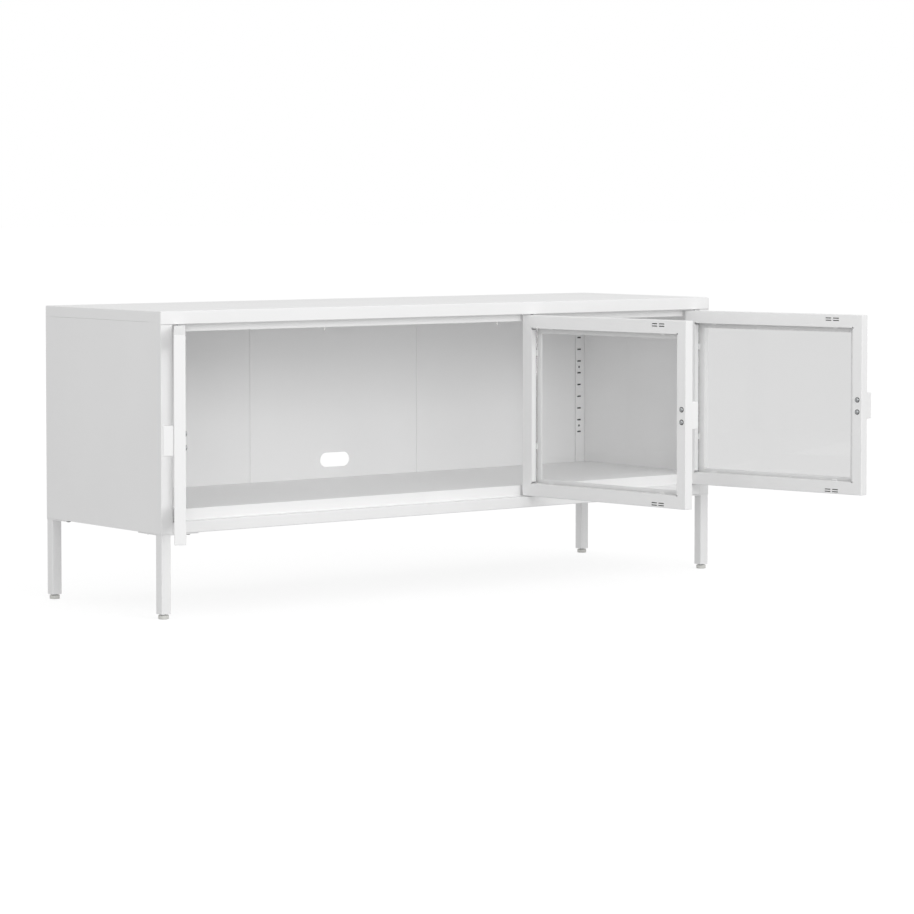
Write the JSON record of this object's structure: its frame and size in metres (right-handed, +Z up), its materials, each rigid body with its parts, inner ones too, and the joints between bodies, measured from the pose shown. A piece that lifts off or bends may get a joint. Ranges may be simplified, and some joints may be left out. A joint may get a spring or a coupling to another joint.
{
  "type": "tv stand with doors",
  "caption": "Low sheet-steel TV stand on square legs, with framed glass doors that swing out on fixed pins, an open interior, a cable slot in the back and levelling feet.",
  "frame": {"origin": "on the floor, under the middle of the box that the stand fills with its doors as modelled, open", "axes": "+X along the width to the right seen from the front, +Y from the front to the back, +Z up"},
  "size_m": [1.5986, 0.8002, 0.5525],
  "materials": {
    "white_powder_coat": "fine-textured satin white powder coat on folded sheet steel",
    "clear_glass": "clear float glass",
    "dark_zinc": "dark zinc plate",
    "white_plastic": "moulded white plastic",
    "foot_plastic": "moulded pale grey plastic"
  },
  "bodies": {
    "cabinet": {"back_panel_centre": "white_powder_coat", "back_panel_left": "white_powder_coat", "back_panel_right": "white_powder_coat", "bottom_panel": "white_powder_coat", "door_bumper_left": "white_plastic", "door_bumper_middle": "white_plastic", "door_bumper_right": "white_plastic", "left_hinge_pin_lower": "dark_zinc", "left_hinge_pin_upper": "dark_zinc", "left_side_panel": "white_powder_coat", "leg_bolt_front_left_edge": "dark_zinc", "leg_bolt_front_left_side": "dark_zinc", "leg_bolt_front_right_edge": "dark_zinc", "leg_bolt_front_right_side": "dark_zinc", "leg_bolt_rear_left_edge": "dark_zinc", "leg_bolt_rear_left_side": "dark_zinc", "leg_bolt_rear_right_edge": "dark_zinc", "leg_bolt_rear_right_side": "dark_zinc", "leg_front_left": "white_powder_coat", "leg_front_right": "white_powder_coat", "leg_plug_front_left": "white_plastic", "leg_plug_front_right": "white_plastic", "leg_plug_rear_left": "white_plastic", "leg_plug_rear_right": "white_plastic", "leg_rear_left": "white_powder_coat", "leg_rear_right": "white_powder_coat", "middle_hinge_pin_lower": "dark_zinc", "middle_hinge_pin_upper": "dark_zinc", "right_hinge_pin_lower": "dark_zinc", "right_hinge_pin_upper": "dark_zinc", "right_side_panel": "white_powder_coat", "shelf_strip_front_left": "white_powder_coat", "shelf_strip_front_right": "white_powder_coat", "shelf_strip_rear_left": "white_powder_coat", "shelf_strip_rear_right": "white_powder_coat", "top_panel": "white_powder_coat", "top_rail_left": "white_powder_coat", "top_rail_right": "white_powder_coat"},
    "left_door": {"left_door_frame": "white_powder_coat", "left_door_glass": "clear_glass", "left_door_handle": "white_powder_coat", "left_handle_screw_lower": "dark_zinc", "left_handle_screw_upper": "dark_zinc"},
    "middle_door": {"middle_door_frame": "white_powder_coat", "middle_door_glass": "clear_glass", "middle_door_handle": "white_powder_coat", "middle_handle_screw_lower": "dark_zinc", "middle_handle_screw_upper": "dark_zinc"},
    "right_door": {"right_door_frame": "white_powder_coat", "right_door_glass": "clear_glass", "right_door_handle": "white_powder_coat", "right_handle_screw_lower": "dark_zinc", "right_handle_screw_upper": "dark_zinc"},
    "foot_front_left": {"levelling_foot_front_left": "foot_plastic"},
    "foot_front_right": {"levelling_foot_front_right": "foot_plastic"},
    "foot_rear_left": {"levelling_foot_rear_left": "foot_plastic"},
    "foot_rear_right": {"levelling_foot_rear_right": "foot_plastic"}
  },
  "joints": [
    {"name": "left_door_hinge", "type": "hinge", "parent": "cabinet", "child": "left_door", "pos_m": [-0.55744, 0.00809, 0.3505], "axis": [0, 0, -1], "range_deg": [-123.2, 1.8]},
    {"name": "middle_door_hinge", "type": "hinge", "parent": "cabinet", "child": "middle_door", "pos_m": [0.26422, 0.00809, 0.3505], "axis": [0, 0, 1], "range_deg": [-96.9, 8.1]},
    {"name": "right_door_hinge", "type": "hinge", "parent": "cabinet", "child": "right_door", "pos_m": [0.68756, 0.00809, 0.3505], "axis": [0, 0, 1], "range_deg": [-102.7, 22.3]},
    {"name": "foot_front_left_screw", "type": "slide", "parent": "cabinet", "child": "foot_front_left", "axis": [0, 0, -1], "range_m": [0, 0.01]},
    {"name": "foot_front_right_screw", "type": "slide", "parent": "cabinet", "child": "foot_front_right", "axis": [0, 0, -1], "range_m": [0, 0.01]},
    {"name": "foot_rear_left_screw", "type": "slide", "parent": "cabinet", "child": "foot_rear_left", "axis": [0, 0, -1], "range_m": [0, 0.01]},
    {"name": "foot_rear_right_screw", "type": "slide", "parent": "cabinet", "child": "foot_rear_right", "axis": [0, 0, -1], "range_m": [0, 0.01]}
  ]
}
